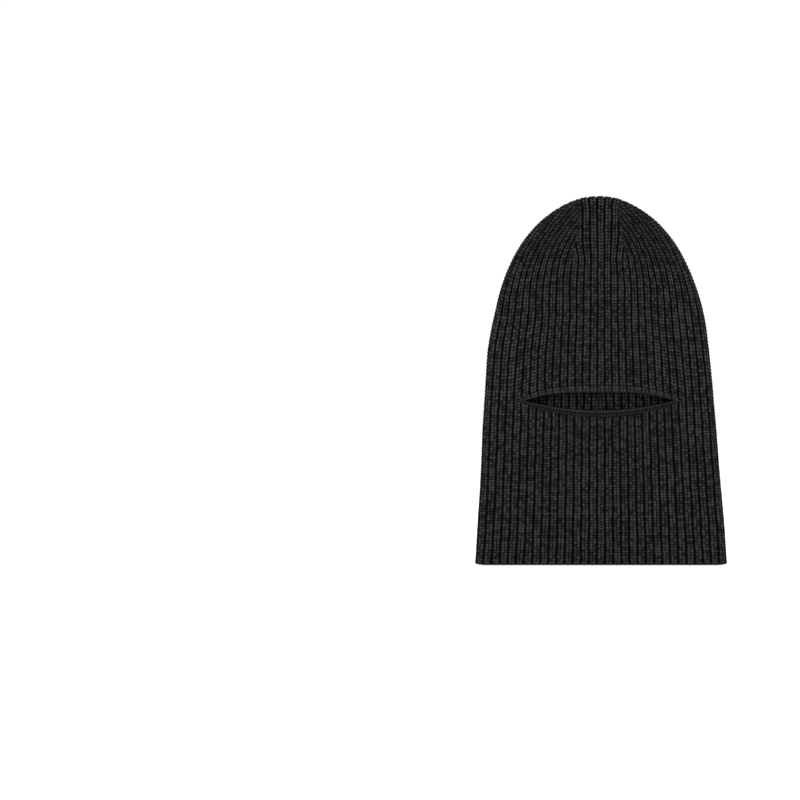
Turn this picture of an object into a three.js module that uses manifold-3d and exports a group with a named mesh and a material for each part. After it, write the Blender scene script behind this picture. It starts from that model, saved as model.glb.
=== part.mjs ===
// A one-hole balaclava in chunky 1x1 rib knit, laid flat and held up by its crown.
// Millimetres. x runs across the face, y from front (-) to back (+), z up from the hem.
import * as THREE from 'three';
import { mergeVertices } from 'three/addons/utils/BufferGeometryUtils.js';
import Module from 'manifold-3d';

// Driving dimensions of the knitted tube
const HEIGHT = 369; // hem to crown tip
const HEM_HALF = 125; // half the flat width at the hem
const CROWN_HALF = 107; // half width of the ellipse that the crown's outline follows
const CROWN_RISE = 150; // half height of that ellipse
const KNIT = 4.5; // thickness of one layer of rib
const DEPTH_HALF = 8; // half the thickness of the whole tube
const HOLLOW_HALF = DEPTH_HALF - KNIT; // half the space between the two layers
const GAP = 0.3; // between pieces that touch

// Heights above the hem
const SLOT_Z = 164; // line of the eye slot's corners, where the mask rolls up
const FOLD_Z = SLOT_Z / 2; // second fold of the roll, halfway down the mask
const GORE_Z = 303; // where the crown's darts start
const HEM_EDGE = 4; // height of the cast-on edge

// Crown shaping: the front and back gores narrow between two darts
const DART_FOOT = 28; // half width between the darts at GORE_Z
const DART_TOP = 16; // and at the crown's edge
const DART_WIDTH = 1.8;
const SEAM_HALF = 1; // half width of the centre back seam
const TIP_RADIUS = 4.5; // drawn-together stitches at the crown's tip

// Eye slot: a lens whose upper edge is flatter than its lower one, each edge with a rolled band
const SLOT_HALF = 76;
const TRIM_HALF = 84; // where a band's outer edge meets the corner line
const TRIM_HEIGHT = 6.5;
const UPPER_EDGE = { rise: 9, power: 3.2 }; // from the corner line to the edge's middle
const LOWER_EDGE = { rise: -10, power: 2 };
const TRIM_PROUD = 0.4;
const TACK_LENGTH = 5.5;
const TACK_HEIGHT = 2.4;

// Woven label, sewn to the inside of the mask's upper half
const LABEL_WIDTH = 47;
const LABEL_HEIGHT = 27.5;
const LABEL_THICK = 0.6;
const LABEL_DROP = 35; // label's middle below the corner line
const LABEL_SHIFT = -6; // label's middle off the centre line
const STITCH_INSET = 1.6;
const STITCH_WIDTH = 0.8;
const STITCH_THICK = 0.4;

const FAR = 200; // beyond the object on every side
const ARC_ROWS = 20; // rows up the crown's arc
const EDGE_STEPS = 10; // steps round the rolled side edge
const LENS_STEPS = 20; // steps along the eye slot

const wasm = await Module();
wasm.setup();

const knit = new THREE.MeshStandardMaterial({ color: 0x242425, roughness: 0.95, metalness: 0 });
const band = new THREE.MeshStandardMaterial({ color: 0x2b2b2c, roughness: 0.92, metalness: 0 });
const seam = new THREE.MeshStandardMaterial({ color: 0x1b1b1c, roughness: 0.95, metalness: 0 });
const satin = new THREE.MeshStandardMaterial({ color: 0x3b3b3d, roughness: 0.55, metalness: 0 });
const thread = new THREE.MeshStandardMaterial({ color: 0x9a7a3a, roughness: 0.6, metalness: 0 });

// Solids in and out of the boolean library

function toSolid(geometry) {
  geometry.deleteAttribute('normal');
  geometry.deleteAttribute('uv');
  const merged = mergeVertices(geometry, 1e-4);
  const vertProperties = new Float32Array(merged.attributes.position.array);
  const triVerts = new Uint32Array(merged.index.array);
  return new wasm.Manifold(new wasm.Mesh({ numProp: 3, vertProperties, triVerts }));
}

function toGeometry(solid) {
  const mesh = solid.getMesh();
  const geometry = new THREE.BufferGeometry();
  geometry.setAttribute('position', new THREE.BufferAttribute(mesh.vertProperties, 3));
  geometry.setIndex(new THREE.BufferAttribute(mesh.triVerts, 1));
  geometry.computeVertexNormals();
  return geometry;
}

// The outline: a straight flare from the hem, tangent to the crown's ellipse

const ellipseZ = HEIGHT - CROWN_RISE;
const reach = Math.hypot(ellipseZ / CROWN_RISE, HEM_HALF / CROWN_HALF);
const meetAngle = Math.atan2(ellipseZ / CROWN_RISE, HEM_HALF / CROWN_HALF) + Math.asin(1 / reach);

function arcPoint(angle) {
  const x = CROWN_HALF * Math.sin(angle);
  const z = ellipseZ + CROWN_RISE * Math.cos(angle);
  const nx = Math.sin(angle) / CROWN_HALF;
  const nz = Math.cos(angle) / CROWN_RISE;
  const length = Math.hypot(nx, nz);
  return { x, z, nx: nx / length, nz: nz / length };
}

function outline() {
  const meet = arcPoint(meetAngle);
  const below = -20;
  const flare = (HEM_HALF - meet.x) / meet.z;
  const points = [{ ...meet, x: HEM_HALF - flare * below, z: below }];
  for (let row = 0; row <= ARC_ROWS; row += 1) {
    points.push(arcPoint(meetAngle * (1 - row / ARC_ROWS)));
  }
  return points;
}

// A flattened tube of the outline's shape, its side edges rounded to the given radius

function flatTube(radius) {
  const rows = outline().map((p) => {
    const ring = [];
    for (let step = 0; step <= EDGE_STEPS; step += 1) {
      const angle = Math.PI * (step / EDGE_STEPS - 0.5);
      const out = radius * Math.cos(angle) - DEPTH_HALF;
      ring.push([p.x + p.nx * out, radius * Math.sin(angle), p.z + p.nz * out]);
    }
    const mirrored = ring.map(([x, y, z]) => [-x, y, z]).reverse();
    return ring.concat(mirrored);
  });
  const count = rows[0].length;
  const positions = rows.flat(2);
  const index = [];
  for (let row = 0; row + 1 < rows.length; row += 1) {
    for (let k = 0; k < count; k += 1) {
      const a = row * count + k;
      const b = row * count + ((k + 1) % count);
      index.push(a, b, b + count, a, b + count, a + count);
    }
  }
  for (let k = 1; k + 1 < count; k += 1) {
    index.push(0, k + 1, k);
  }
  const geometry = new THREE.BufferGeometry();
  geometry.setAttribute('position', new THREE.Float32BufferAttribute(positions, 3));
  geometry.setIndex(index);
  return toSolid(geometry);
}

// A prism through the tube, from an outline in the x-z plane

function prism(points, yLow, yHigh) {
  const shape = new THREE.Shape(points.map(([x, z]) => new THREE.Vector2(x, z)));
  const geometry = new THREE.ExtrudeGeometry(shape, { depth: yHigh - yLow, bevelEnabled: false });
  geometry.rotateX(Math.PI / 2);
  geometry.translate(0, yHigh, 0);
  return toSolid(geometry);
}

function block(xLow, xHigh, zLow, zHigh, yLow = -FAR, yHigh = FAR) {
  return prism([[xLow, zLow], [xHigh, zLow], [xHigh, zHigh], [xLow, zHigh]], yLow, yHigh);
}

const front = { yLow: -FAR, yHigh: -GAP / 2 };
const back = { yLow: GAP / 2, yHigh: FAR };
const tube = flatTube(DEPTH_HALF).subtract(flatTube(HOLLOW_HALF));

function knitPiece(points, side) {
  return tube.intersect(prism(points, side.yLow, side.yHigh));
}

// One edge of the lens, from left to right, at a given half length and rise

function lensArc(half, rise, power) {
  const points = [];
  for (let step = 0; step <= LENS_STEPS; step += 1) {
    const share = 2 * step / LENS_STEPS - 1;
    points.push([half * share, SLOT_Z + rise * (1 - Math.abs(share) ** power)]);
  }
  return points;
}

// The line where a band meets the knit, a little beyond it if grown

function bandArc(edge, grow) {
  const sign = Math.sign(edge.rise);
  return lensArc(TRIM_HALF, edge.rise + sign * (TRIM_HEIGHT + grow), edge.power);
}

// Crown

function dartX(z, shift) {
  const run = (DART_TOP - DART_FOOT) / (HEIGHT - GORE_Z);
  return DART_FOOT + run * (z - GORE_Z) + shift;
}

const tipCutter = () => {
  const radius = TIP_RADIUS + GAP;
  const geometry = new THREE.CylinderGeometry(radius, radius, 3 * KNIT, 24);
  geometry.rotateX(Math.PI / 2);
  geometry.translate(0, 0, HEIGHT - KNIT - GAP + 1.5 * KNIT);
  return toSolid(geometry);
};
const tipHole = tipCutter();
const gap = GAP / 2;
const goreLow = GORE_Z + gap;
const goreHigh = HEIGHT + 10;

function crownFrontGore() {
  const shift = -DART_WIDTH / 2 - GAP;
  const low = dartX(goreLow, shift);
  const high = dartX(goreHigh, shift);
  const piece = knitPiece([[-low, goreLow], [low, goreLow], [high, goreHigh], [-high, goreHigh]], front);
  return piece.subtract(tipHole);
}

function crownBackGore(sign) {
  const shift = -DART_WIDTH / 2 - GAP;
  const inner = sign * (SEAM_HALF + GAP);
  const low = sign * dartX(goreLow, shift);
  const high = sign * dartX(goreHigh, shift);
  const points = [[inner, goreLow], [low, goreLow], [high, goreHigh], [inner, goreHigh]];
  return knitPiece(points, back).subtract(tipHole);
}

function crownSideGore(sign) {
  const shift = DART_WIDTH / 2 + GAP;
  const low = sign * dartX(goreLow, shift);
  const high = sign * dartX(goreHigh, shift);
  const far = sign * FAR;
  const points = [[low, goreLow], [far, goreLow], [far, goreHigh], [high, goreHigh]];
  return knitPiece(points, { yLow: -FAR, yHigh: FAR });
}

function dartSeam(sign, side) {
  const half = DART_WIDTH / 2;
  const points = [
    [sign * dartX(goreLow, -half), goreLow],
    [sign * dartX(goreLow, half), goreLow],
    [sign * dartX(goreHigh, half), goreHigh],
    [sign * dartX(goreHigh, -half), goreHigh],
  ];
  return knitPiece(points, side);
}

function tipGather() {
  const low = HEIGHT - KNIT;
  const profile = [
    [0, low],
    [TIP_RADIUS - 0.5, low],
    [TIP_RADIUS, low + 0.5],
    [TIP_RADIUS, HEIGHT - 2.2],
    [TIP_RADIUS * 0.7, HEIGHT - 0.8],
    [TIP_RADIUS * 0.3, HEIGHT - 0.1],
    [0, HEIGHT],
  ].map(([radius, z]) => new THREE.Vector2(radius, z));
  const geometry = new THREE.LatheGeometry(profile, 24);
  geometry.rotateX(Math.PI / 2);
  return toSolid(geometry);
}

// Hood between the crown and the eye slot

function tackBlock(sign, grow) {
  const xLow = SLOT_HALF + GAP - grow;
  const xHigh = SLOT_HALF + GAP + TACK_LENGTH + grow;
  const zLow = SLOT_Z + gap - grow;
  const zHigh = SLOT_Z + gap + TACK_HEIGHT + grow;
  const xs = [sign * xLow, sign * xHigh].sort((a, b) => a - b);
  return block(xs[0], xs[1], zLow, zHigh, -DEPTH_HALF - TRIM_PROUD, -HOLLOW_HALF);
}

function hoodFront() {
  const low = SLOT_Z + gap;
  const high = GORE_Z - gap;
  const arc = bandArc(UPPER_EDGE, GAP).map(([x, z]) => [x, Math.max(z, low)]);
  const points = [[-FAR, low], ...arc, [FAR, low], [FAR, high], [-FAR, high]];
  const piece = knitPiece(points, front);
  return piece.subtract(tackBlock(-1, GAP)).subtract(tackBlock(1, GAP));
}

function hoodBack(sign) {
  const xs = [sign * (SEAM_HALF + GAP), sign * FAR].sort((a, b) => a - b);
  return tube.intersect(block(xs[0], xs[1], SLOT_Z + gap, GORE_Z - gap, back.yLow, back.yHigh));
}

function backSeam(zLow, zHigh) {
  return tube.intersect(block(-SEAM_HALF, SEAM_HALF, zLow, zHigh, back.yLow, back.yHigh));
}

// Bands round the eye slot: the upper one is on the hood, and the lower one on the mask

function slotBand(edge) {
  const sign = Math.sign(edge.rise);
  const clear = ([x, z]) => [x, SLOT_Z + sign * Math.max(sign * (z - SLOT_Z), gap)];
  const inner = lensArc(SLOT_HALF, edge.rise, edge.power).map(clear);
  const outer = bandArc(edge, 0).filter(([x]) => Math.abs(x) < SLOT_HALF);
  const share = 1 - (SLOT_HALF / TRIM_HALF) ** edge.power;
  const endZ = SLOT_Z + (edge.rise + sign * TRIM_HEIGHT) * share;
  const ring = [...inner, [SLOT_HALF, endZ], ...outer.reverse(), [-SLOT_HALF, endZ]];
  return prism(ring, -DEPTH_HALF - TRIM_PROUD, -HOLLOW_HALF);
}

// Mask and neck, which roll up

function maskFrontUpper() {
  const low = FOLD_Z + gap;
  const high = SLOT_Z - gap;
  const arc = bandArc(LOWER_EDGE, GAP).map(([x, z]) => [x, Math.min(z, high)]);
  const points = [[-FAR, low], [FAR, low], [FAR, high], ...arc.reverse(), [-FAR, high]];
  return knitPiece(points, front);
}

function maskFrontLower() {
  return tube.intersect(block(-FAR, FAR, HEM_EDGE + gap, FOLD_Z - gap, front.yLow, front.yHigh));
}

function neckBack(sign, zLow, zHigh) {
  const xs = [sign * (SEAM_HALF + GAP), sign * FAR].sort((a, b) => a - b);
  return tube.intersect(block(xs[0], xs[1], zLow, zHigh, back.yLow, back.yHigh));
}

function hemEdge(side) {
  return tube.intersect(block(-FAR, FAR, 0, HEM_EDGE - gap, side.yLow, side.yHigh));
}

// Label and the thread that holds it

function labelBlock(inset, yLow, thick) {
  const halfWidth = LABEL_WIDTH / 2 - inset;
  const halfHeight = LABEL_HEIGHT / 2 - inset;
  const z = SLOT_Z - LABEL_DROP;
  const xLow = LABEL_SHIFT - halfWidth;
  const xHigh = LABEL_SHIFT + halfWidth;
  return block(xLow, xHigh, z - halfHeight, z + halfHeight, yLow, yLow + thick);
}

const labelY = -HOLLOW_HALF + GAP;

function wovenLabel() {
  return labelBlock(0, labelY, LABEL_THICK);
}

function labelStitching() {
  const y = labelY + LABEL_THICK + GAP;
  const outer = labelBlock(STITCH_INSET, y, STITCH_THICK);
  const inner = labelBlock(STITCH_INSET + STITCH_WIDTH, y - 1, STITCH_THICK + 2);
  return outer.subtract(inner);
}

// Assembly: the origin is the inside of the crown's tip, where it rests on the head

const balaclava = new THREE.Group();
balaclava.position.z = KNIT - HEIGHT;

function add(name, solid, material) {
  const mesh = new THREE.Mesh(toGeometry(solid), material);
  mesh.name = name;
  balaclava.add(mesh);
}

add('crown_front_gore', crownFrontGore(), knit);
add('crown_tip_gather', tipGather(), seam);
add('hood_front', hoodFront(), knit);
add('slot_upper_band', slotBand(UPPER_EDGE), band);
add('back_seam_hood', backSeam(SLOT_Z + gap, goreHigh).subtract(tipHole), seam);
add('mask_front_upper', maskFrontUpper(), knit);
add('slot_lower_band', slotBand(LOWER_EDGE), band);
add('woven_label', wovenLabel(), satin);
add('label_stitching', labelStitching(), thread);
add('mask_front_lower', maskFrontLower(), knit);
add('hem_edge_front', hemEdge(front), band);
add('back_seam_upper', backSeam(FOLD_Z + gap, SLOT_Z - gap), seam);
add('back_seam_lower', backSeam(HEM_EDGE + gap, FOLD_Z - gap), seam);
add('hem_edge_back', hemEdge(back), band);

for (const [side, sign] of [['left', 1], ['right', -1]]) {
  add(`crown_side_gore_${side}`, crownSideGore(sign), knit);
  add(`crown_back_gore_${side}`, crownBackGore(sign), knit);
  add(`dart_seam_front_${side}`, dartSeam(sign, front), seam);
  add(`dart_seam_back_${side}`, dartSeam(sign, back), seam);
  add(`hood_back_${side}`, hoodBack(sign), knit);
  add(`slot_corner_tack_${side}`, tackBlock(sign, 0), thread);
  add(`neck_back_upper_${side}`, neckBack(sign, FOLD_Z + gap, SLOT_Z - gap), knit);
  add(`neck_back_lower_${side}`, neckBack(sign, HEM_EDGE + gap, FOLD_Z - gap), knit);
}

export default balaclava;
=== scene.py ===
import math

import bpy
import numpy as np
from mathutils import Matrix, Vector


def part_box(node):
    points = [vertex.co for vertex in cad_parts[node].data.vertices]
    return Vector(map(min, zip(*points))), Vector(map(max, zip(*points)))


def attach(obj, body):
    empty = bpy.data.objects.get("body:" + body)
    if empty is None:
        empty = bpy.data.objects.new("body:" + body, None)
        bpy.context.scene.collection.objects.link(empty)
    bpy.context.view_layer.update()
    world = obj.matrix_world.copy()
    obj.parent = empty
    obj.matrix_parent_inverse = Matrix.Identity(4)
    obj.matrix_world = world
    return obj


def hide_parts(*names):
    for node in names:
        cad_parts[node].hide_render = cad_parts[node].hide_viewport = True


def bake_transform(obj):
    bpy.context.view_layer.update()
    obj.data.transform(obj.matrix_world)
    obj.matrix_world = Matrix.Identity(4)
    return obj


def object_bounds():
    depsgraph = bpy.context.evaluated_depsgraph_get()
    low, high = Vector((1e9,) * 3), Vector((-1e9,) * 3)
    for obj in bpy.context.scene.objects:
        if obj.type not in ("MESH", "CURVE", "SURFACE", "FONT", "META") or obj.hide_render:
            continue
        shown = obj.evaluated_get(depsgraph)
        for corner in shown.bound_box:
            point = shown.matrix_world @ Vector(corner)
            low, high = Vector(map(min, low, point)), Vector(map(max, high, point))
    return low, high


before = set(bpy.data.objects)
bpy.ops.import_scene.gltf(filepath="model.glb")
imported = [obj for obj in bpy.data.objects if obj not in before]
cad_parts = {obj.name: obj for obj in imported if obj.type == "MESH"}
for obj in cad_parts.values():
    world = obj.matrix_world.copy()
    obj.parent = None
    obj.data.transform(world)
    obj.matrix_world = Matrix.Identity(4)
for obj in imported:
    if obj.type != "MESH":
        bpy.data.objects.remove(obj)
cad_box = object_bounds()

# ---------------------------------------------------------------------------
# Studio. The balaclava is looked at square on, hanging straight, over a plain
# pale floor at the level of its hem, in soft light.
# ---------------------------------------------------------------------------

scene = bpy.context.scene
scene.view_settings.view_transform = "Standard"
scene.view_settings.look = "None"

view_width = 0.8
view_distance = 3.992
camera_data = bpy.data.cameras.new("camera")
camera_data.sensor_width = 36
camera_data.lens = camera_data.sensor_width * view_distance / view_width
camera_data.clip_end = 60
camera = bpy.data.objects.new("camera", camera_data)
camera.location = (-0.1995, -0.008 - view_distance, -0.1995)
camera.rotation_euler = (math.radians(90), 0, 0)
scene.collection.objects.link(camera)
scene.camera = camera

world = bpy.data.worlds.new("pale_studio")
world.use_nodes = True
world.node_tree.nodes["Background"].inputs["Color"].default_value = (1, 1, 1, 1)
world.node_tree.nodes["Background"].inputs["Strength"].default_value = 1.02
scene.world = world


def soft_light(name, place, aim, size, watts):
    data = bpy.data.lights.new(name, "AREA")
    data.size = size
    data.energy = watts
    light = bpy.data.objects.new(name, data)
    light.location = place
    direction = [a - p for a, p in zip(aim, place)]
    reach = math.hypot(direction[0], direction[1])
    light.rotation_euler = (math.atan2(reach, -direction[2]), 0,
                            math.atan2(-direction[0], direction[1]))
    scene.collection.objects.link(light)


soft_light("key", (-0.9, -1.9, 1.0), (0, 0, -0.18), 0.9, 26)
soft_light("fill", (1.3, -2.0, 0.3), (0, 0, -0.18), 1.4, 9)
soft_light("top", (0.0, 0.2, 2.2), (0, 0, -0.18), 1.6, 16)
soft_light("back", (0.8, 2.3, 1.2), (0, 0, -0.18), 1.4, 18)

floor_mesh = bpy.data.meshes.new("floor")
floor_half = 14
floor_z = cad_box[0][2] - 0.0005
floor_corners = [(floor_half * x, floor_half * y, floor_z) for x, y in ((-1, -1), (1, -1), (1, 1), (-1, 1))]
floor_mesh.from_pydata(floor_corners, [], [(0, 1, 2, 3)])
floor = bpy.data.objects.new("floor", floor_mesh)
floor_paint = bpy.data.materials.new("floor_paint")
floor_paint.use_nodes = True
paint = floor_paint.node_tree.nodes["Principled BSDF"]
paint.inputs["Base Color"].default_value = (0.86, 0.86, 0.86, 1)
paint.inputs["Roughness"].default_value = 0.9
paint.inputs["Specular IOR Level"].default_value = 0.1
paint.inputs["Emission Color"].default_value = (1, 1, 1, 1)
paint.inputs["Emission Strength"].default_value = 0.3
floor_mesh.materials.append(floor_paint)
scene.collection.objects.link(floor)

# ---------------------------------------------------------------------------
# Front of the mask, hem to eye slot. Chunky one-by-one rib in charcoal acrylic,
# made as one tube: 64 ribs round, 56 courses from the hem to the slot, with deep
# purl grooves between ribs of two leaning columns of stitches. It rolls up in
# two turns, and the knit is split where it stays stiff.
# ---------------------------------------------------------------------------

origin_height = 364.5
hem_half = 125
crown_half = 107
crown_rise = 150
crown_middle = 219
outer_radius = 8
inner_radius = 3.5
quarter_turn = outer_radius * math.pi / 2
half_ribs = 16
centre_rib = 1
front_middle = 1.5
slot_course = 56
crown_course = 96
slot_height = 164
crown_height = 303


def smooth(value, low, high):
    t = np.clip((value - low) / (high - low), 0, 1)
    return t * t * (3 - 2 * t)


def outline(fullness):
    """The garment's outline from the hem to the top, its outward normal, and the line that the
    side edge is rolled about. Fullness is how far the knit, as it lies, bulges past a plain flare."""
    reach_up = math.hypot(crown_middle / crown_rise, hem_half / crown_half)
    meet = math.atan2(crown_middle / crown_rise, hem_half / crown_half) + math.asin(1 / reach_up)
    angle = np.linspace(meet, 0, 900)
    x = crown_half * np.sin(angle)
    z = crown_middle + crown_rise * np.cos(angle)
    below = np.linspace(-20, z[0], 200, endpoint=False)
    flare = (hem_half - x[0]) / z[0]
    edge = np.concatenate([np.stack([hem_half - flare * below, below], 1), np.stack([x, z], 1)])
    edge[:, 0] += fullness(edge[:, 1]) * smooth(edge[:, 0], 0, 40)
    along = np.gradient(edge, axis=0)
    normal = np.stack([along[:, 1], -along[:, 0]], 1)
    normal /= np.linalg.norm(normal, axis=1)[:, None]
    return edge, normal, edge - outer_radius * normal


def right_fullness(height):
    return 4.2 * smooth(height, 20, 190) * (1 - smooth(height, 205, 262)) - 0.9


def left_fullness(height):
    return 2.9 - 5.2 * smooth(height, 165, 310)


# The wearer's left is +x
edges = {1: outline(left_fullness), -1: outline(right_fullness)}


def roll_at(height, side):
    """Half width of the flat, and the side edge's direction, at a height."""
    def column(table, k):
        left = np.interp(height, edges[1][2][:, 1], edges[1][table][:, k])
        right = np.interp(height, edges[-1][2][:, 1], edges[-1][table][:, k])
        return np.where(side > 0, left, right)

    return column(2, 0), column(1, 0), column(1, 1)


def uneven(rib, course, salt):
    """A fixed unevenness of -1 to 1 for each stitch, as in hand-fed yarn."""
    value = np.sin(rib * 12.9898 + course * 78.233 + salt * 37.719) * 43758.5453
    return 2 * (value - np.floor(value)) - 1


groove_depth = 2.0
gap_depth = 0.85
crease_depth = 0.9
purl_height = 0.8


def knit_relief(ribs, courses, salt):
    """Depth of the knit's face below its highest point, in millimetres, and how much light reaches
    it, from 0 in a pit to 1 on top of a stitch. A rib is two columns of leaning stitch legs with a
    crease between them, and purl bars cross the groove beside it."""
    rib = np.round(ribs)
    across = np.abs(ribs - rib)
    side = np.sign(ribs - rib)
    rib = np.mod(rib, 4 * half_ribs)
    lean = courses - 0.9 * across + 0.12 * uneven(rib, 0, salt)
    stitch = np.floor(lean)
    swell = uneven(rib + 0.31 * side, stitch, salt)
    bead = np.sin(np.pi * (lean - stitch))
    leg = np.clip(1 - ((across - 0.2) / 0.2) ** 2, 0, 1)
    raised = 1 - smooth(across, 0.31, 0.48)
    bar = 0.5 + 0.5 * np.cos(2 * np.pi * (courses - 0.3) + uneven(rib, np.floor(courses), salt + 3))
    depth = -groove_depth * (1 - raised)
    depth -= raised * (gap_depth * (1 + 0.3 * swell) * (1 - bead ** 0.7) + crease_depth * (1 - leg))
    depth += (1 - raised) * purl_height * (bar - 0.5)
    light = raised * ((0.38 + 0.62 * bead) * (0.25 + 0.75 * leg) * (1 + 0.35 * swell)) ** 2
    light += (1 - raised) * 0.14 * bar ** 2
    return depth, np.clip(light, 0, 1.3)


stitch_top = 0.8


def faces_of(ribs, courses, sink):
    """Outer and inner radius of the knit, and the light on each face. The inner face has its ribs
    behind the outer one's grooves."""
    round_tube = ribs * 2 * np.pi / (4 * half_ribs)
    wander = 0.03 * np.sin(courses * 0.35 + 13 * round_tube)
    wander = wander + 0.012 * np.sin(courses * 1.3 + 8 * round_tube)
    wave = 0.3 * np.sin(4 * round_tube + courses * 0.09)
    wave = wave + 0.2 * np.sin(2 * round_tube - courses * 0.21 + 1.3)
    depth, light = knit_relief(ribs + wander, courses, 0)
    inner_depth, inner_light = knit_relief(ribs + wander + 0.5, courses, 5)
    outer = outer_radius + stitch_top + wave + depth - sink
    inner = inner_radius + wave - inner_depth - 0.7 * sink
    return outer, inner, light, inner_light


def quads(rows, columns):
    index = np.arange(rows * columns).reshape(rows, columns)
    return np.stack([index[:-1, :-1], index[:-1, 1:], index[1:, 1:], index[1:, :-1]], -1).reshape(-1, 4)


def build(name, points, faces, smooth_faces, coordinates, lit, material):
    """A mesh object from points in millimetres above the hem, its knit coordinates and light."""
    points = np.asarray(points, dtype=np.float64) * 0.001
    points[:, 2] -= origin_height * 0.001
    mesh = bpy.data.meshes.new(name)
    mesh.vertices.add(len(points))
    mesh.vertices.foreach_set("co", points.ravel())
    mesh.loops.add(faces.size)
    mesh.loops.foreach_set("vertex_index", faces.ravel().astype(np.int32))
    mesh.polygons.add(len(faces))
    mesh.polygons.foreach_set("loop_start", np.arange(0, faces.size, 4, dtype=np.int32))
    mesh.update(calc_edges=True)
    mesh.polygons.foreach_set("use_smooth", smooth_faces)
    layer = mesh.uv_layers.new(name="knit")
    layer.data.foreach_set("uv", coordinates[faces.ravel()].astype(np.float32).ravel())
    mark = mesh.attributes.new("lit", "FLOAT", "POINT")
    mark.data.foreach_set("value", lit.astype(np.float32))
    mesh.materials.append(material)
    mesh.validate()
    piece = bpy.data.objects.new(name, mesh)
    scene.collection.objects.link(piece)
    return piece


def cloth(name, outer, inner, faces, coordinates, lit, inner_lit, material):
    """A closed sheet of knit: both faces, with a rim round every free edge."""
    count = len(outer)
    pairs = np.concatenate([faces[:, [0, 1]], faces[:, [1, 2]], faces[:, [2, 3]], faces[:, [3, 0]]])
    keys = np.sort(pairs, 1) @ np.array([count, 1])
    _, first, times = np.unique(keys, return_index=True, return_counts=True)
    free = pairs[first[times == 1]]
    rim = np.stack([free[:, 1], free[:, 0], free[:, 0] + count, free[:, 1] + count], 1)
    every = np.concatenate([faces, faces[:, ::-1] + count, rim])
    soft = np.ones(len(every), dtype=bool)
    soft[2 * len(faces):] = False
    return build(name, np.concatenate([outer, inner]), every, soft,
                 np.concatenate([coordinates, coordinates + (0.5, 0)]),
                 np.concatenate([lit, inner_lit]), material)


def yarn_group():
    """Spun yarn: two plies twisted together, loose fibre, and the mottle of dyed acrylic. It is
    dark where little light gets between the stitches."""
    group = bpy.data.node_groups.new("spun_yarn", "ShaderNodeTree")
    group.interface.new_socket("Knit", in_out="INPUT", socket_type="NodeSocketVector")
    group.interface.new_socket("Lit", in_out="INPUT", socket_type="NodeSocketFloat")
    group.interface.new_socket("Dark", in_out="INPUT", socket_type="NodeSocketColor")
    group.interface.new_socket("Pale", in_out="INPUT", socket_type="NodeSocketColor")
    group.interface.new_socket("Color", in_out="OUTPUT", socket_type="NodeSocketColor")
    group.interface.new_socket("Height", in_out="OUTPUT", socket_type="NodeSocketFloat")
    nodes, link = group.nodes, group.links.new
    given = nodes.new("NodeGroupInput")
    out = nodes.new("NodeGroupOutput")
    size = nodes.new("ShaderNodeVectorMath")
    size.operation = "MULTIPLY"
    size.inputs[1].default_value = (8, 3, 1)
    link(given.outputs["Knit"], size.inputs[0])

    ply = nodes.new("ShaderNodeTexWave")
    ply.bands_direction = "DIAGONAL"
    ply.inputs["Scale"].default_value = 0.36
    ply.inputs["Distortion"].default_value = 1.5
    ply.inputs["Detail Scale"].default_value = 1.2
    fibre = nodes.new("ShaderNodeTexNoise")
    fibre.inputs["Scale"].default_value = 1.6
    fibre.inputs["Detail"].default_value = 3
    mottle = nodes.new("ShaderNodeTexNoise")
    mottle.inputs["Scale"].default_value = 0.12
    mottle.inputs["Detail"].default_value = 2
    for texture in (ply, fibre, mottle):
        link(size.outputs[0], texture.inputs["Vector"])

    def scaled_sum(value, factor, addend):
        node = nodes.new("ShaderNodeMath")
        node.operation = "MULTIPLY_ADD"
        node.inputs[1].default_value = factor
        link(value, node.inputs[0])
        if isinstance(addend, float):
            node.inputs[2].default_value = addend
        else:
            link(addend, node.inputs[2])
        return node.outputs[0]

    tone = scaled_sum(ply.outputs["Fac"], 0.35, 0.0)
    tone = scaled_sum(fibre.outputs["Fac"], 1.45, tone)
    tone = scaled_sum(mottle.outputs["Fac"], 0.22, tone)
    share = nodes.new("ShaderNodeMath")
    share.operation = "MULTIPLY"
    link(given.outputs["Lit"], share.inputs[0])
    link(tone, share.inputs[1])
    tint = nodes.new("ShaderNodeMix")
    tint.data_type = "RGBA"
    tint.clamp_factor = True
    link(share.outputs[0], tint.inputs["Factor"])
    link(given.outputs["Dark"], tint.inputs[6])
    link(given.outputs["Pale"], tint.inputs[7])
    link(tint.outputs[2], out.inputs["Color"])
    height = scaled_sum(ply.outputs["Fac"], 0.6, 0.0)
    link(scaled_sum(fibre.outputs["Fac"], 0.5, height), out.inputs["Height"])
    return group


spun_yarn = yarn_group()


def yarn(name, dark, pale, nap):
    """A matt yarn, mixed from its dark to its pale tone by the lit attribute, which is painted light:
    painted shade in the pits between stitches, the pale tone on top of the stitches.
    """
    material = bpy.data.materials.new(name)
    material.use_nodes = True
    nodes, link = material.node_tree.nodes, material.node_tree.links.new
    shader = nodes["Principled BSDF"]
    shader.inputs["Roughness"].default_value = 0.9
    shader.inputs["Specular IOR Level"].default_value = 0
    place = nodes.new("ShaderNodeUVMap")
    place.uv_map = "knit"
    lit = nodes.new("ShaderNodeAttribute")
    lit.attribute_name = "lit"
    thread = nodes.new("ShaderNodeGroup")
    thread.node_tree = spun_yarn
    thread.inputs["Dark"].default_value = (*dark, 1)
    thread.inputs["Pale"].default_value = (*pale, 1)
    bump = nodes.new("ShaderNodeBump")
    bump.inputs["Strength"].default_value = 0.8
    bump.inputs["Distance"].default_value = nap
    link(place.outputs["UV"], thread.inputs["Knit"])
    link(lit.outputs["Fac"], thread.inputs["Lit"])
    link(thread.outputs["Color"], shader.inputs["Base Color"])
    link(thread.outputs["Height"], bump.inputs["Height"])
    link(bump.outputs["Normal"], shader.inputs["Normal"])
    return material


charcoal = yarn("charcoal_rib", (0.0006, 0.0006, 0.0007), (0.0375, 0.0375, 0.0385), 0.0004)

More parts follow.
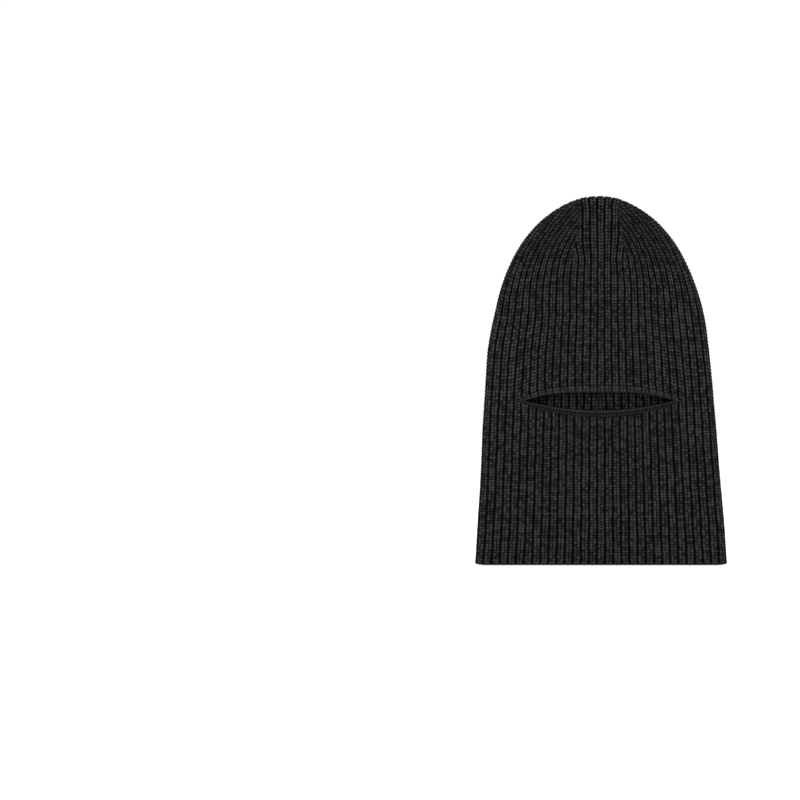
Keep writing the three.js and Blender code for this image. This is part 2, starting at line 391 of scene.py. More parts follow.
# The lens of the eye slot pushes the courses near it apart
slot_half = 76
slot_reach = 84
upper_rise = 9
lower_rise = -10
upper_power = 3.2
lower_power = 2
band_height = 6.5


def course_height(courses):
    return np.interp(courses, [0, slot_course, crown_course], [0, slot_height, crown_height])


def slot_bow(x, courses, above):
    """How far a course near the eye slot stands off its straight line."""
    height = course_height(courses)
    if above:
        shape = 1 - (np.abs(x) / slot_reach) ** upper_power
        lift = upper_rise + band_height
        fade = lift * ((crown_height - height) / (crown_height - slot_height)) ** 1.5
        away = height - slot_height
    else:
        shape = 1 - (np.abs(x) / slot_reach) ** lower_power
        fade = (lower_rise - band_height) * (height / slot_height) ** 3
        away = slot_height - height
    softness = 0.002 + np.maximum(away, 0) / 150
    return fade * softness * np.logaddexp(0, shape / softness)


crown_swell = 0.12
dart_foot = (28, crown_height)
dart_head = (16, crown_middle + crown_rise)
dart_length = math.dist(dart_foot, dart_head)
dart_slope = (dart_foot[0] - dart_head[0]) / (dart_head[1] - dart_foot[1])


def spread(share, height):
    """Where a rib lies on the half round, which is 1 long. Ribs widen at the middle near the crown."""
    swell = crown_swell * smooth(height, 240, crown_height)
    return share * (1 + swell - swell * share ** 2)


def dart_x(height):
    return dart_foot[0] - dart_slope * (height - crown_height)


def dart_sink(x, z):
    """The knit is drawn in along the crown's darts."""
    step_x = (dart_head[0] - dart_foot[0]) / dart_length
    step_z = (dart_head[1] - dart_foot[1]) / dart_length
    along = (np.abs(x) - dart_foot[0]) * step_x + (z - dart_foot[1]) * step_z
    apart = (np.abs(x) - dart_foot[0]) * step_z - (z - dart_foot[1]) * step_x
    away = np.where(along < 0, np.hypot(along, apart), np.abs(apart))
    return 1.5 * np.exp(-(away / 2.4) ** 2)


def seam_sink(x, front):
    return 0 if front else 1.2 * np.exp(-(x / 2.2) ** 2)


def wrapped(flat_x, height, turn, side, radius, front):
    """A point of the flattened tube: on its flat face, or turned about the side edge."""
    _, out_x, out_z = roll_at(height, side)
    y = radius * np.cos(turn)
    return np.stack([flat_x + side * radius * out_x * np.sin(turn), -y if front else y,
                     height + radius * out_z * np.sin(turn)], -1)


def round_run(share, height, side, middle):
    """Distance round the tube from the centre line to a rib, split into its flat and turned part."""
    flat_half, _, _ = roll_at(height, side)
    run = flat_half + quarter_turn - side * middle
    distance = side * middle + spread(share, height) * run
    flat = np.minimum(distance, flat_half)
    turn = np.maximum(distance - flat_half, 0) / outer_radius
    return side * flat, turn


def tube_patch(ribs, courses, front, above):
    """Points of a patch of the tube, as rows of courses by columns of ribs."""
    signed = (ribs - centre_rib) / half_ribs
    side = np.where(signed < 0, -1, 1)
    middle = front_middle if front else 0
    height = course_height(courses)
    x, _ = round_run(np.abs(signed), height, side, middle)
    if front:
        height = height + slot_bow(x, courses, above)
    x, turn = round_run(np.abs(signed), height, side, middle)
    round_ribs = ribs if front else 2 * half_ribs + 2 * centre_rib - ribs
    sink = dart_sink(x, height) + seam_sink(x, front)
    outer, inner, lit, inner_lit = faces_of(round_ribs, courses, sink)
    return {
        "outer": wrapped(x, height, turn, side, outer, front).reshape(-1, 3),
        "inner": wrapped(x, height, turn, side, inner, front).reshape(-1, 3),
        "coordinates": np.stack([round_ribs, courses + 0 * ribs], -1).reshape(-1, 2),
        "lit": lit.ravel(),
        "inner_lit": inner_lit.ravel(),
        "x": x.ravel(),
    }


rib_steps = 10
course_steps = 5
side_shift = 0.1
side_gap = 0.055


def rib_span(front):
    """First and last rib of the front or the back. The two meet a hair apart, off the middle of the
    side edges and to opposite sides, so that they fold freely and no light shows through."""
    low = centre_rib - half_ribs
    high = centre_rib + half_ribs
    if front:
        return low + side_shift, high + side_shift
    return low - side_shift + side_gap, high - side_shift - side_gap


def knit_grid(low, high, front):
    ribs = np.linspace(*rib_span(front), 2 * half_ribs * rib_steps + 1)
    courses = np.linspace(low, high, round((high - low) * course_steps) + 1)
    return np.meshgrid(ribs, courses)


def knit_panel(name, low, high, front, above=False):
    """A band of the tube's front or back between two courses."""
    ribs, courses = knit_grid(low, high, front)
    patch = tube_patch(ribs, courses, front, above)
    faces = quads(*ribs.shape)
    if not front:
        faces = faces[:, ::-1]
    return cloth(name, patch["outer"], patch["inner"], faces, patch["coordinates"],
                 patch["lit"], patch["inner_lit"], charcoal)


def flat_size(low, high):
    """Width and length in metres of a band of the tube laid flat, side edges opened out."""
    middle = course_height((low + high) / 2)
    width = float(sum(roll_at(middle, side)[0] + quarter_turn for side in (-1, 1)))
    length = float(course_height(high) - course_height(low))
    return width * 0.001, length * 0.001


# Courses where the knit's pieces begin and end, from the hem up
first_course = 0.6
lower_split = 14
upper_split = 42
hood_split = 60


def turns_across(piece):
    """The piece's transform is baked into its mesh."""
    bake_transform(piece)


mask_hem = knit_panel("mask_knit_hem", first_course, lower_split, front=True)
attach(mask_hem, "mask_lower")
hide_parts("mask_front_lower")
flat_size(first_course, lower_split)

mask_middle = knit_panel("mask_knit_middle", lower_split, upper_split, front=True)
turns_across(mask_middle)
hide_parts("mask_front_upper")
flat_size(lower_split, upper_split)


def slot_ring(name):
    """The knit round the eye slot, from well below it to a few courses above."""
    ribs, courses = knit_grid(upper_split, slot_course, True)
    low = tube_patch(ribs, courses, True, False)
    low_faces = quads(*ribs.shape)
    corner_row = len(low["outer"]) - ribs.shape[1] + np.arange(ribs.shape[1])
    ribs, courses = knit_grid(slot_course, hood_split, True)
    high = tube_patch(ribs, courses, True, True)
    high_faces = quads(*ribs.shape) + len(low["outer"])
    joined = np.abs(high["x"][:ribs.shape[1]]) >= slot_reach
    swap = np.arange(len(low["outer"]) + len(high["outer"]))
    swap[len(low["outer"]) + np.nonzero(joined)[0]] = corner_row[joined]
    faces = swap[np.concatenate([low_faces, high_faces])]
    used, compact = np.unique(faces, return_inverse=True)
    both = {key: np.concatenate([low[key], high[key]])[used] for key in low}
    return cloth(name, both["outer"], both["inner"], compact.reshape(-1, 4), both["coordinates"],
                 both["lit"], both["inner_lit"], charcoal)


slot_knit = slot_ring("mask_knit_slot")
turns_across(slot_knit)
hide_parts("mask_front_upper", "hood_front")
flat_size(upper_split, hood_split)

# ---------------------------------------------------------------------------
# Front of the hood, from the eye slot to the crown's darts. The same rib goes
# on straight up the tube for 40 more courses, and draws in towards the crown.
# ---------------------------------------------------------------------------

hood_middle_course = 78

hood_low = knit_panel("hood_knit_low", hood_split, hood_middle_course, front=True, above=True)
hood_high = knit_panel("hood_knit_high", hood_middle_course, crown_course, front=True, above=True)
flat_size(hood_split, hood_middle_course)
flat_size(hood_middle_course, crown_course)
for piece in (hood_low, hood_high):
    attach(piece, "hood")
    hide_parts("hood_front")

# ---------------------------------------------------------------------------
# Back of the neck and hood. The other half of the same tube, knitted flat and
# closed by one seam down the middle. The neck rolls up with the mask.
# ---------------------------------------------------------------------------

neck_hem = knit_panel("neck_knit_hem", first_course, lower_split, front=False)
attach(neck_hem, "neck_lower")
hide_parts("neck_back_lower_left", "neck_back_lower_right")
flat_size(first_course, lower_split)

neck_middle = knit_panel("neck_knit_middle", lower_split, upper_split, front=False)
turns_across(neck_middle)
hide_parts("neck_back_upper_left", "neck_back_upper_right")
flat_size(lower_split, upper_split)

neck_top = knit_panel("neck_knit_top", upper_split, hood_split, front=False)
turns_across(neck_top)
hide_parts("neck_back_upper_left", "neck_back_upper_right")
flat_size(upper_split, hood_split)

back_low = knit_panel("hood_back_knit_low", hood_split, hood_middle_course, front=False)
back_high = knit_panel("hood_back_knit_high", hood_middle_course, crown_course, front=False)
flat_size(hood_split, hood_middle_course)
flat_size(hood_middle_course, crown_course)
for piece in (back_low, back_high):
    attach(piece, "hood")
    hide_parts("hood_back_left", "hood_back_right")

# ---------------------------------------------------------------------------
# Crown. Four darts shape it: upright ribs fill a narrowing gore at the front
# and the back, and the ribs of the side gores bend over and run into the darts
# or over the top edge.
# ---------------------------------------------------------------------------

crown_pitch = 3.3
lean_at_foot = 0.0054
lean_at_top = 0.95
lean_rise = 50
near_top = 335
even_share = np.linspace(0, 1, 500)


def ribs_at(distance, side, front):
    """Rib coordinate, from the centre line, of a distance round the tube at the darts' feet."""
    flat_half, _, _ = roll_at(crown_height, side)
    middle = side * (front_middle if front else 0)
    run = float(flat_half) - middle + quarter_turn
    return half_ribs * np.interp(distance - middle, spread(even_share, crown_height) * run, even_share)


def gore_top(share, side):
    """Height, and direction of the edge, where a line of the centre gore meets the rolled edge."""
    _, normal, roll = edges[side]
    high = roll[:, 1] > near_top
    part = (roll[:, 0] / dart_x(roll[:, 1]))[high]
    order = np.argsort(part)
    return [np.interp(share, part[order], column[high][order])
            for column in (roll[:, 1], normal[:, 0], normal[:, 1])]


def centre_gore(name, front, columns=56, rows=140):
    halves = []
    for side in (-1, 1):
        spaced = np.linspace(0, 1, columns + 1)
        share, climb = np.meshgrid(spaced[:0:-1] if side < 0 else spaced, np.linspace(0, 1, rows + 1))
        top, out_x, out_z = gore_top(share, side)
        distance = climb * (top - crown_height + quarter_turn)
        height = crown_height + np.minimum(distance, top - crown_height)
        turn = np.maximum(distance - (top - crown_height), 0) / outer_radius
        x = side * share * dart_x(height)
        halves.append([x, height, turn, side * out_x, out_z, distance])
    x, height, turn, out_x, out_z, distance = (np.concatenate(pair, 1) for pair in zip(*halves))
    widen = 1 + 0.15 * smooth(height, crown_height, crown_height + 27)
    middle = front_middle if front else 0
    from_middle = (x - middle) / widen + middle
    ribs = np.where(from_middle < middle, -ribs_at(-from_middle, -1, front), ribs_at(from_middle, 1, front))
    ribs = centre_rib + ribs if front else 2 * half_ribs + centre_rib - ribs
    courses = crown_course + distance / crown_pitch
    sink = (dart_sink(x, height) + seam_sink(x, front)) * np.cos(turn)
    outer, inner, lit, inner_lit = faces_of(ribs, courses, sink)
    way = -1 if front else 1

    def placed(radius):
        return np.stack([x + out_x * radius * np.sin(turn), way * radius * np.cos(turn),
                         height + out_z * radius * np.sin(turn)], -1).reshape(-1, 3)

    faces = quads(*x.shape)
    if not front:
        faces = faces[:, ::-1]
    coordinates = np.stack([ribs, courses], -1).reshape(-1, 2)
    return cloth(name, placed(outer), placed(inner), faces, coordinates, lit.ravel(),
                 inner_lit.ravel(), charcoal)


def leaning_rib(x, rise):
    """Where the rib through a point of a side gore stood at the dart's foot, and its length so far.
    Ribs lean in more and more towards the top."""
    bend = lean_at_top / (2 * lean_rise) * rise ** 2
    foot = (x + bend) / (1 - lean_at_foot * rise + lean_at_foot * rise ** 2 / (2 * lean_rise))
    mean_lean = lean_at_foot * foot + rise * (lean_at_top - lean_at_foot * foot) / (2 * lean_rise)
    return foot, rise * np.hypot(1, mean_lean)


def side_gore(name, side, columns=150, rows=150):
    """Front and back of a side gore in one piece, rolled round the side edge."""
    _, normal, roll = edges[side]
    top = float(gore_top(1.0, side)[0])
    arc = np.concatenate([[0], np.cumsum(np.linalg.norm(np.diff(roll, axis=0), axis=1))])
    even = np.linspace(np.interp(crown_height, roll[:, 1], arc), np.interp(top, roll[:, 1], arc), rows + 1)

    def along(table):
        return np.stack([np.interp(even, arc, table[:, k]) for k in (0, 1)], 1)

    roll, normal = along(roll), along(normal)
    out = np.linspace(0.006, 1, columns + 1)
    share = np.concatenate([out, out[-2::-1]])
    behind = np.concatenate([np.zeros(columns + 1), np.ones(columns)]) > 0
    toward = roll - dart_foot
    flat_reach = np.linalg.norm(toward, axis=1)[:, None]
    toward = toward / flat_reach
    run = share[None, :] * (flat_reach + quarter_turn)
    flat = np.minimum(run, flat_reach)
    turn = np.maximum(run - flat_reach, 0) / outer_radius
    x = dart_foot[0] + toward[:, :1] * flat
    z = dart_foot[1] + toward[:, 1:] * flat
    past = outer_radius * turn
    foot, length = leaning_rib(x + past * normal[:, :1] / normal[0, 0],
                               z - crown_height + past * (normal[:, 1:] - normal[0, 1]))
    ribs = np.where(behind[None, :], 2 * half_ribs - ribs_at(foot, side, False), ribs_at(foot, side, True))
    courses = crown_course + length / crown_pitch
    sink = dart_sink(x, z) * np.cos(turn)
    outer, inner, lit, inner_lit = faces_of(centre_rib + side * ribs, courses, sink)
    way = np.where(behind, 1, -1)[None, :]

    def placed(radius):
        return np.stack([side * (x + normal[:, :1] * radius * np.sin(turn)),
                         way * radius * np.cos(turn),
                         z + normal[:, 1:] * radius * np.sin(turn)], -1).reshape(-1, 3)

    faces = quads(*run.shape)
    if side < 0:
        faces = faces[:, ::-1]
    coordinates = np.stack([ribs, courses], -1).reshape(-1, 2)
    return cloth(name, placed(outer), placed(inner), faces, coordinates, lit.ravel(),
                 inner_lit.ravel(), charcoal)


front_gore = centre_gore("crown_knit_front", True)
back_gore = centre_gore("crown_knit_back", False)
left_gore = side_gore("crown_knit_left", 1)
right_gore = side_gore("crown_knit_right", -1)
for piece, nodes in ((front_gore, ["crown_front_gore"]),
                     (back_gore, ["crown_back_gore_left", "crown_back_gore_right"])):
    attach(piece, "hood")
    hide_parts(*nodes)
for piece, node in ((left_gore, "crown_side_gore_left"), (right_gore, "crown_side_gore_right")):
    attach(piece, "hood")
    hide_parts(node)

# ---------------------------------------------------------------------------
# Hem. The cast-on edge of the tube, front and back: the first stitches of every
# rib looped on one strand, so the edge swings in and out with the ribs.
# ---------------------------------------------------------------------------


def tube_mesh(name, rings, coordinates, lit, material):
    """A closed tube through rings of points, its two ends filled in."""
    count, around = rings.shape[:2]
    index = np.arange(count * around).reshape(count, around)
    nxt = np.roll(index, -1, 1)
    sides = np.stack([index[:-1], nxt[:-1], nxt[1:], index[1:]], -1).reshape(-1, 4)
    half = around // 2
    k = np.arange(half - 1)
    cap = np.stack([k, (around - 1 - k) % around, (around - 2 - k) % around, k + 1], 1)
    faces = np.concatenate([sides, cap, index[-1][cap[:, ::-1]]])
    points = rings.reshape(-1, 3)
    volume = np.einsum("ij,ij->i", points[faces[:, 0]] - points.mean(0),
                       np.cross(points[faces[:, 1]] - points[faces[:, 0]],
                                points[faces[:, 2]] - points[faces[:, 0]])).sum()
    if volume < 0:
        faces = faces[:, ::-1]
    soft = np.ones(len(faces), dtype=bool)
    soft[len(sides):] = False
    return build(name, points, faces, soft, coordinates.reshape(-1, 2), lit.ravel(), material)


hem_middle = 1.9
hem_half_height = 1.9
hem_groove = 2.2
hem_rib_steps = 12


def hem_roll(name, front):
    ribs = np.linspace(*rib_span(front), 2 * half_ribs * hem_rib_steps + 1)[:, None]
    turn_round = np.linspace(0, 2 * np.pi, 16, endpoint=False)[None, :]
    signed = (ribs - centre_rib) / half_ribs
    side = np.where(signed < 0, -1, 1)
    x, turn = round_run(np.abs(signed), hem_middle, side, front_middle if front else 0)
    round_ribs = ribs if front else 2 * half_ribs + 2 * centre_rib - ribs
    across = np.abs(round_ribs - np.round(round_ribs))
    raised = 1 - smooth(across, 0.25, 0.45)
    behind = 1 - smooth(0.5 - across, 0.25, 0.45)
    outer = outer_radius + stitch_top - 0.3 - hem_groove * (1 - raised)
    inner = inner_radius + hem_groove * (1 - behind)
    twist = np.sin(2 * np.pi * 2 * round_ribs + 2 * turn_round)
    radius = (outer + inner) / 2 + ((outer - inner) / 2 + 0.3 * twist) * np.cos(turn_round)
    height = hem_middle + (hem_half_height + 0.1 * twist) * np.sin(turn_round)
    rings = wrapped(x, height, turn + 0 * turn_round, side, radius, front)
    lit = (0.5 + 0.25 * twist) * (0.35 + 0.65 * np.where(np.cos(turn_round) > 0, raised, behind))
    coordinates = np.stack([round_ribs + 0 * turn_round, 0.4 * turn_round + 0 * ribs], -1)
    return tube_mesh(name, rings, coordinates, lit, charcoal)


for face, body in (("front", "mask_lower"), ("back", "neck_lower")):
    hem = hem_roll(f"hem_edge_knit_{face}", face == "front")
    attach(hem, body)
    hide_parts(f"hem_edge_{face}")

# ---------------------------------------------------------------------------
# Eye slot. Its edges are turned in and linked: a soft gathered band above, and
# a firm band below with a row of linking stitches along its rolled edge. A few
# wraps of yarn tack the bands together at each corner.
# ---------------------------------------------------------------------------

band_middle = 5.75
band_half_depth = 2.75
band_overlap = 0.55
band_rib = 7.4
band_courses = 2.2
linking_pitch = 2.75


def slot_band(name, rise, power, relief):
    """The rolled band of one edge. Its ring goes from the slot's edge over the front to the knit's
    side and back inside."""
    x = np.linspace(-slot_reach + 0.4, slot_reach - 0.4, 561)[:, None]
    angle = np.linspace(0, 2 * np.pi, 28, endpoint=False)[None, :]
    up = np.sign(rise)
    edge = rise * np.clip(1 - (np.abs(x) / slot_half) ** power, 0, 1)
    far = (rise + up * band_height) * (1 - (np.abs(x) / slot_reach) ** power)
    half = np.abs(far - edge) / 2 + band_overlap
    tuck = np.abs(np.cos(angle)) ** 0.75 * np.sign(np.cos(angle))
    swing = np.abs(np.sin(angle)) ** 0.8 * np.sign(np.sin(angle))
    from_edge = (1 - tuck) / 2
    bulge, lit = relief(x, from_edge, swing > 0)
    height = slot_height + (far + edge) / 2 - up * half * tuck
    depth = band_middle + (band_half_depth + bulge) * swing * smooth(slot_reach - np.abs(x), -2, 9)
    ribs = centre_rib + (x - front_middle) / band_rib
    rings = np.stack([x + 0 * angle, -depth, height], -1)
    coordinates = np.stack([ribs + 0 * angle, band_courses * from_edge + 0 * x], -1)
    return tube_mesh(name, rings, coordinates, lit, charcoal)


def gathered(x, from_edge, outside):
    """The ribs above run down into the band, lower and fuller than on the hood, and pucker it."""
    ribs = centre_rib + (x + 0 * from_edge - front_middle) / band_rib
    depth, light = knit_relief(ribs, band_courses * from_edge, 2)
    fullness = smooth(from_edge, 0.1, 0.9)
    bulge = 0.55 + (0.25 + 0.35 * fullness) * depth
    lit = 0.2 * (1 - 0.5 * fullness) + (0.5 + 0.4 * fullness) * light
    return bulge + 0 * outside, lit * np.where(outside, 1.0, 0.7)


def linked(x, from_edge, outside):
    """A firm rolled edge, then a row of linking stitches, then the knit tucked under."""
    count = np.floor(x / linking_pitch + 0.5)
    stitch = 0.5 + 0.5 * np.cos(2 * np.pi * x / linking_pitch + 2.5 * from_edge)
    stitch = stitch * (1 + 0.3 * uneven(count, 0, 7))
    roll = np.exp(-((from_edge - 0.16) / 0.15) ** 2)
    groove = np.exp(-((from_edge - 0.45) / 0.09) ** 2)
    second = np.exp(-((from_edge - 0.7) / 0.14) ** 2)
    bulge = 0.6 * roll * (0.2 + 0.8 * stitch) - 0.6 * groove + 0.5 * second * stitch
    lit = 0.08 + 0.72 * roll * (0.2 + 0.8 * stitch) + 0.5 * second * stitch
    return bulge + 0 * outside, np.clip(lit, 0, 1.2) * np.where(outside, 1.0, 0.7)


upper_band = slot_band("slot_band_upper", upper_rise, upper_power, gathered)
lower_band = slot_band("slot_band_lower", lower_rise, lower_power, linked)
for band, node in ((upper_band, "slot_upper_band"), (lower_band, "slot_lower_band")):
    turns_across(band)
    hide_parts(node)

seam_yarn = yarn("seam_yarn", (0.0006, 0.0006, 0.0007), (0.033, 0.033, 0.034), 0.0003)


tack_middle = slot_half + 0.6
tack_depth = 5.6
tack_half_length = 2.9
tack_half_depth = 3.7
tack_half_height = 1.5


def corner_tack(name, side):
    """Five wraps of yarn round the meeting bands."""
    along = np.linspace(-1, 1, 81)[:, None]
    angle = np.linspace(0, 2 * np.pi, 16, endpoint=False)[None, :]
    wraps = np.abs(np.cos(np.pi * 2.5 * along + 0.25 * np.sin(angle)))
    size = (0.75 + 0.25 * wraps) * np.sqrt(np.clip(1 - (along * 0.96) ** 4, 0, 1))
    x = side * (tack_middle + tack_half_length * along + 0 * angle)
    depth = tack_depth + tack_half_depth * size * np.sin(angle)
    height = slot_height + tack_half_height * size * np.cos(angle) + 0.3 * along
    lit = 0.15 + 0.75 * wraps + 0 * angle
    coordinates = np.stack([along + 0.2 * angle, angle + 0 * along], -1)
    return tube_mesh(name, np.stack([x, -depth, height], -1), coordinates, lit, seam_yarn)


for side, word in ((1, "left"), (-1, "right")):
    tack = corner_tack(f"corner_tack_{word}", side)
    turns_across(tack)
    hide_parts(f"slot_corner_tack_{word}")

# ---------------------------------------------------------------------------
# Seams. Chain-linked seams in the same yarn: one down the middle of the back,
# and one along each dart of the crown, over the top edge. They lie sunk between
# the ribs. At the very top the yarn end is drawn through and pulled tight.
# ---------------------------------------------------------------------------

chain_pitch = 3.0


def chain_seam(name, path, turn, edge_way, front, half_width, inner, outer):
    """A chain of linked loops along a path on the tube: points of x and height, the turn about the
    rolled edge, and that edge's outward direction."""
    length = np.concatenate([[0], np.cumsum(np.linalg.norm(np.diff(path, axis=0), axis=1)
                                            + outer_radius * np.diff(turn))])
    course = (length / chain_pitch)[:, None]
    angle = np.linspace(0, 2 * np.pi, 14, endpoint=False)[None, :]
    loop = np.abs(np.sin(np.pi * course))
    step = np.gradient(path, axis=0)
    step = np.where(np.linalg.norm(step, axis=1)[:, None] > 1e-6, step, (0, 1))
    step /= np.linalg.norm(step, axis=1)[:, None]
    sway = half_width * (0.75 + 0.25 * loop) * np.cos(angle)
    radius = (inner + outer) / 2 + (outer - inner) / 2 * (0.86 + 0.14 * loop) * np.sin(angle)
    out = radius * np.sin(turn)[:, None]
    x = path[:, :1] + step[:, 1:] * sway + edge_way[0] * out
    z = path[:, 1:] - step[:, :1] * sway + edge_way[1] * out
    y = (-1 if front else 1) * radius * np.cos(turn)[:, None]
    lit = (0.12 + 0.6 * loop) * (0.5 + 0.5 * np.abs(np.cos(angle)))
    coordinates = np.stack([0.3 * angle + 0 * course, course + 0 * angle], -1)
    return tube_mesh(name, np.stack([x, y, z], -1), coordinates, lit, seam_yarn)


def straight_path(low, high):
    height = np.linspace(low, high, int((high - low) / 0.5) + 2)
    return np.stack([0 * height, height], 1), 0 * height


def over_the_top(foot, head, last_turn):
    """A straight line up the flat, then round the rolled edge to its last turn."""
    steps = int(math.dist(foot, head) / 0.5)
    flat = np.linspace(foot, head, steps)
    turn = np.linspace(0, last_turn, 26)[1:]
    path = np.concatenate([flat, np.repeat(flat[-1:], len(turn), 0)])
    return path, np.concatenate([np.zeros(steps), turn])


seam_half = 1.2
seam_inner = 2.9
seam_outer = 7.3
seam_foot = 1
below_fold = 41
above_fold = 123
above_roll = 178
roll_top = float(edges[1][2][-1, 1])


def back_seam(name, path, turn):
    return chain_seam(name, path, turn, (0, 1), False, seam_half, seam_inner, seam_outer)


seam_low = back_seam("back_seam_low", *straight_path(seam_foot, below_fold))
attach(seam_low, "neck_lower")
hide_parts("back_seam_lower")

seam_fold = back_seam("back_seam_fold", *straight_path(below_fold, above_fold))
turns_across(seam_fold)
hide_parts("back_seam_upper")

seam_roll = back_seam("back_seam_roll", *straight_path(above_fold, above_roll))
turns_across(seam_roll)
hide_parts("back_seam_upper")

seam_hood = back_seam("back_seam_high", *over_the_top((0, above_roll), (0, roll_top), math.pi / 2))
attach(seam_hood, "hood")
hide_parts("back_seam_hood")

dart_half = 0.9
dart_inner = 3.2
dart_outer = 6.9
dart_last_turn = math.pi / 2 - 0.02

for side, word in ((1, "left"), (-1, "right")):
    top, out_x, out_z = (float(value) for value in gore_top(1.0, side))
    foot = (side * dart_foot[0], dart_foot[1])
    path, turn = over_the_top(foot, (side * dart_x(top), top), dart_last_turn)
    for front, face in ((True, "front"), (False, "back")):
        dart = chain_seam(f"dart_seam_{face}_{word}_chain", path, turn, (side * out_x, out_z), front,
                          dart_half, dart_inner, dart_outer)
        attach(dart, "hood")
        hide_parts(f"dart_seam_{face}_{word}")


tip_radius = 4.3
tip_height = 366.6
tip_rise = 2.3
tip_pleats = 8


def tip_gather(name):
    """Small pleats drawn to one knot and rounded over."""
    down = np.linspace(0.04, 1, 26)[:, None]
    round_tip = np.linspace(0, 2 * np.pi, 64, endpoint=False)[None, :]
    pleat = 0.5 + 0.5 * np.cos(tip_pleats * round_tip + 2.5 * down)
    over = down * np.pi * 0.62
    radius = tip_radius * np.sin(over) * (0.88 + 0.12 * pleat)
    height = tip_height + tip_rise * np.cos(over) - 0.35 * (1 - pleat) * down + 0 * round_tip
    rings = np.stack([radius * np.cos(round_tip), radius * np.sin(round_tip), height], -1)
    lit = 0.15 + 0.7 * pleat * (0.4 + 0.6 * down)
    coordinates = np.stack([round_tip + 0 * down, 2 * down + 0 * round_tip], -1)
    return tube_mesh(name, rings, coordinates, lit, seam_yarn)


tip = tip_gather("crown_tip_knot")
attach(tip, "hood")
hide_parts("crown_tip_gather")

# ---------------------------------------------------------------------------
# Label. A plain dark satin-woven tape with a paler woven border, folded in at
# its ends and sewn to the inside of the mask with a running stitch in ochre
# thread, so that it shows on the cuff when the mask is rolled up.
# ---------------------------------------------------------------------------

label_low, label_high = (np.array(corner) * 1000 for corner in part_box("woven_label"))
label_low[2] += origin_height
label_high[2] += origin_height
label_width = 47
label_length = 27.5
label_thick = 0.6
label_clear = 0.55


def woven_label(name):
    across, up = np.meshgrid(np.linspace(0, 1, 95), np.linspace(0, 1, 57))
    size = label_high - label_low
    x = label_low[0] + across * size[0]
    height = label_low[2] + up * size[2]
    from_end = np.minimum(across, 1 - across) * size[0]
    from_side = np.minimum(up, 1 - up) * size[2]
    soft_edge = 0.12 * (smooth(from_end, 0, 0.8) * smooth(from_side, 0, 0.8))
    fold = 0.14 * (1 - smooth(from_end, 5.2, 5.8))
    slack = 0.12 * np.sin(across * 9 + up * 2) * smooth(from_side, 0, 5)
    middle = label_low[1] + label_clear + slack
    face = middle + label_thick / 2 + soft_edge + fold - 0.1
    back = middle - label_thick / 2
    front_points = np.stack([x, back, height], -1).reshape(-1, 3)
    inside_points = np.stack([x, face, height], -1).reshape(-1, 3)
    coordinates = np.stack([across * label_width, up * label_length], -1).reshape(-1, 2)
    lit = np.ones(x.size)
    return cloth(name, front_points, inside_points, quads(*x.shape), coordinates, lit, lit, satin)


border_inset = 3.6
border_width = 0.7


def satin_tape(name, ground, border):
    """Warp-faced satin: fine ribs across, a diagonal twill glint, and a border of paler picks."""
    material = bpy.data.materials.new(name)
    material.use_nodes = True
    nodes, link = material.node_tree.nodes, material.node_tree.links.new
    shader = nodes["Principled BSDF"]
    shader.inputs["Roughness"].default_value = 0.5
    shader.inputs["Specular IOR Level"].default_value = 0.2
    place = nodes.new("ShaderNodeUVMap")
    place.uv_map = "knit"
    split = nodes.new("ShaderNodeSeparateXYZ")
    link(place.outputs["UV"], split.inputs[0])

    def math_node(operation, *values):
        node = nodes.new("ShaderNodeMath")
        node.operation = operation
        for socket, value in zip(node.inputs, values):
            if isinstance(value, (int, float)):
                socket.default_value = value
            else:
                link(value, socket)
        return node.outputs[0]

    def inset(coordinate, full):
        from_middle = math_node("ABSOLUTE", math_node("SUBTRACT", coordinate, full / 2))
        return math_node("SUBTRACT", full / 2, from_middle)

    from_end = inset(split.outputs["X"], label_width + 0.5)
    margin = math_node("MINIMUM", from_end, inset(split.outputs["Y"], label_length))
    stripe = math_node("COMPARE", margin, border_inset, border_width / 2)
    weave = nodes.new("ShaderNodeTexWave")
    weave.bands_direction = "DIAGONAL"
    weave.inputs["Scale"].default_value = 0.9
    rows = nodes.new("ShaderNodeTexWave")
    rows.bands_direction = "Y"
    rows.inputs["Scale"].default_value = 1.1
    link(place.outputs["UV"], weave.inputs["Vector"])
    link(place.outputs["UV"], rows.inputs["Vector"])
    shade = math_node("MULTIPLY_ADD", weave.outputs["Fac"], 0.3, 0.7)
    colour = nodes.new("ShaderNodeMix")
    colour.data_type = "RGBA"
    colour.inputs[6].default_value = (*ground, 1)
    colour.inputs[7].default_value = (*border, 1)
    link(stripe, colour.inputs["Factor"])
    woven = nodes.new("ShaderNodeMix")
    woven.data_type = "RGBA"
    woven.blend_type = "MULTIPLY"
    woven.inputs["Factor"].default_value = 1
    link(colour.outputs[2], woven.inputs[6])
    link(shade, woven.inputs[7])
    link(woven.outputs[2], shader.inputs["Base Color"])
    bump = nodes.new("ShaderNodeBump")
    bump.inputs["Strength"].default_value = 0.5
    bump.inputs["Distance"].default_value = 0.0001
    link(math_node("ADD", weave.outputs["Fac"], rows.outputs["Fac"]), bump.inputs["Height"])
    link(bump.outputs["Normal"], shader.inputs["Normal"])
    return material


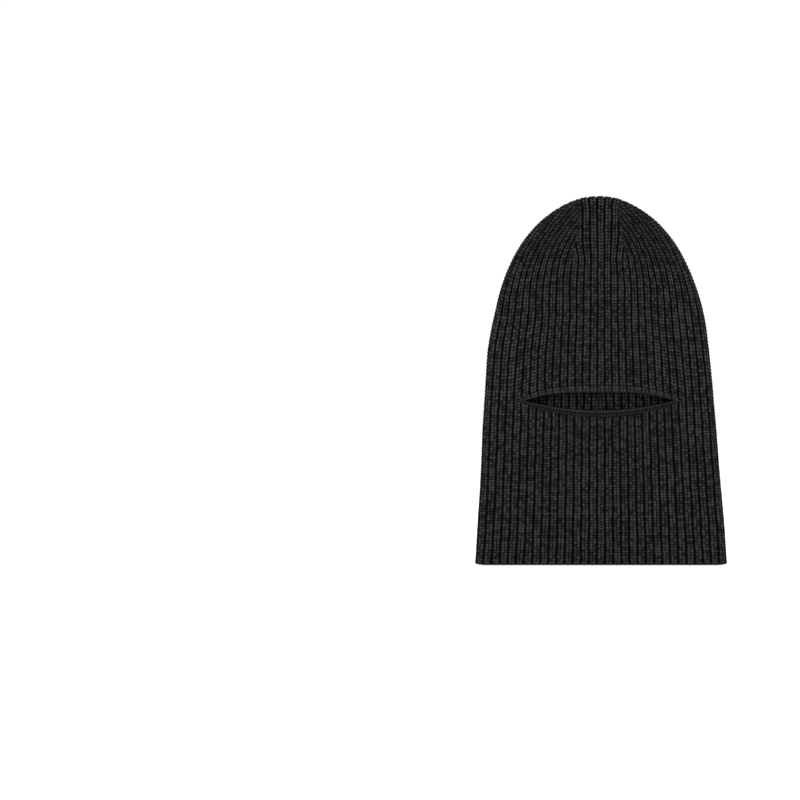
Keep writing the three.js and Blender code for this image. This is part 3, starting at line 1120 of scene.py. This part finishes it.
satin = satin_tape("label_satin", (0.020, 0.020, 0.022), (0.30, 0.22, 0.10))
ochre = yarn("label_thread", (0.10, 0.06, 0.02), (0.42, 0.29, 0.11), 0.0001)

label = woven_label("label_tape")
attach(label, "mask_upper")
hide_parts("woven_label")

stitch_inset = 1.6
stitch_pitch = 3.1
thread_radius = 0.34
thread_lift = 0.12
thread_sides = 8
thread_rings = 7


def running_stitch(name):
    """Short stitches of thread all round, each dipping into the tape at its ends."""
    left, right = label_low[0] + stitch_inset, label_high[0] - stitch_inset
    low, high = label_low[2] + stitch_inset, label_high[2] - stitch_inset
    corners = [(left, low), (right, low), (right, high), (left, high), (left, low)]
    points, faces = [], []
    angle = np.linspace(0, 2 * np.pi, thread_sides, endpoint=False)
    tape_face = label_low[1] + label_clear + label_thick / 2 + thread_lift
    for (x0, z0), (x1, z1) in zip(corners[:-1], corners[1:]):
        side = math.dist((x0, z0), (x1, z1))
        count = round(side / stitch_pitch)
        way = np.array([x1 - x0, z1 - z0]) / side
        for k in range(count):
            start = side * (k + 0.18) / count
            along = np.linspace(0, side * 0.64 / count, thread_rings)
            size = thread_radius * np.sqrt(1 - np.linspace(-0.98, 0.98, thread_rings) ** 2)
            base = len(points)
            for step, radius in zip(along, size):
                for a in angle:
                    points.append((x0 + way[0] * (start + step) - way[1] * radius * math.cos(a),
                                   tape_face + radius * math.sin(a),
                                   z0 + way[1] * (start + step) + way[0] * radius * math.cos(a)))
            last_ring = base + thread_sides * (thread_rings - 1)
            for ring in range(base, last_ring, thread_sides):
                for n in range(thread_sides):
                    here, there = ring + n, ring + (n + 1) % thread_sides
                    faces.append((here, there, there + thread_sides, here + thread_sides))
            for end in (base, last_ring):
                for cap in ((0, 1, 2, 3), (0, 3, 4, 7), (4, 5, 6, 7)):
                    cap = cap if end != base else cap[::-1]
                    faces.append(tuple(end + n for n in cap))
    points, faces = np.array(points), np.array(faces)
    coordinates = points[:, [0, 2]] * 2
    return build(name, points, faces[:, ::-1], np.ones(len(faces), dtype=bool), coordinates,
                 0.9 * np.ones(len(points)), ochre)


thread = running_stitch("label_running_stitch")
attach(thread, "mask_upper")
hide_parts("label_stitching")
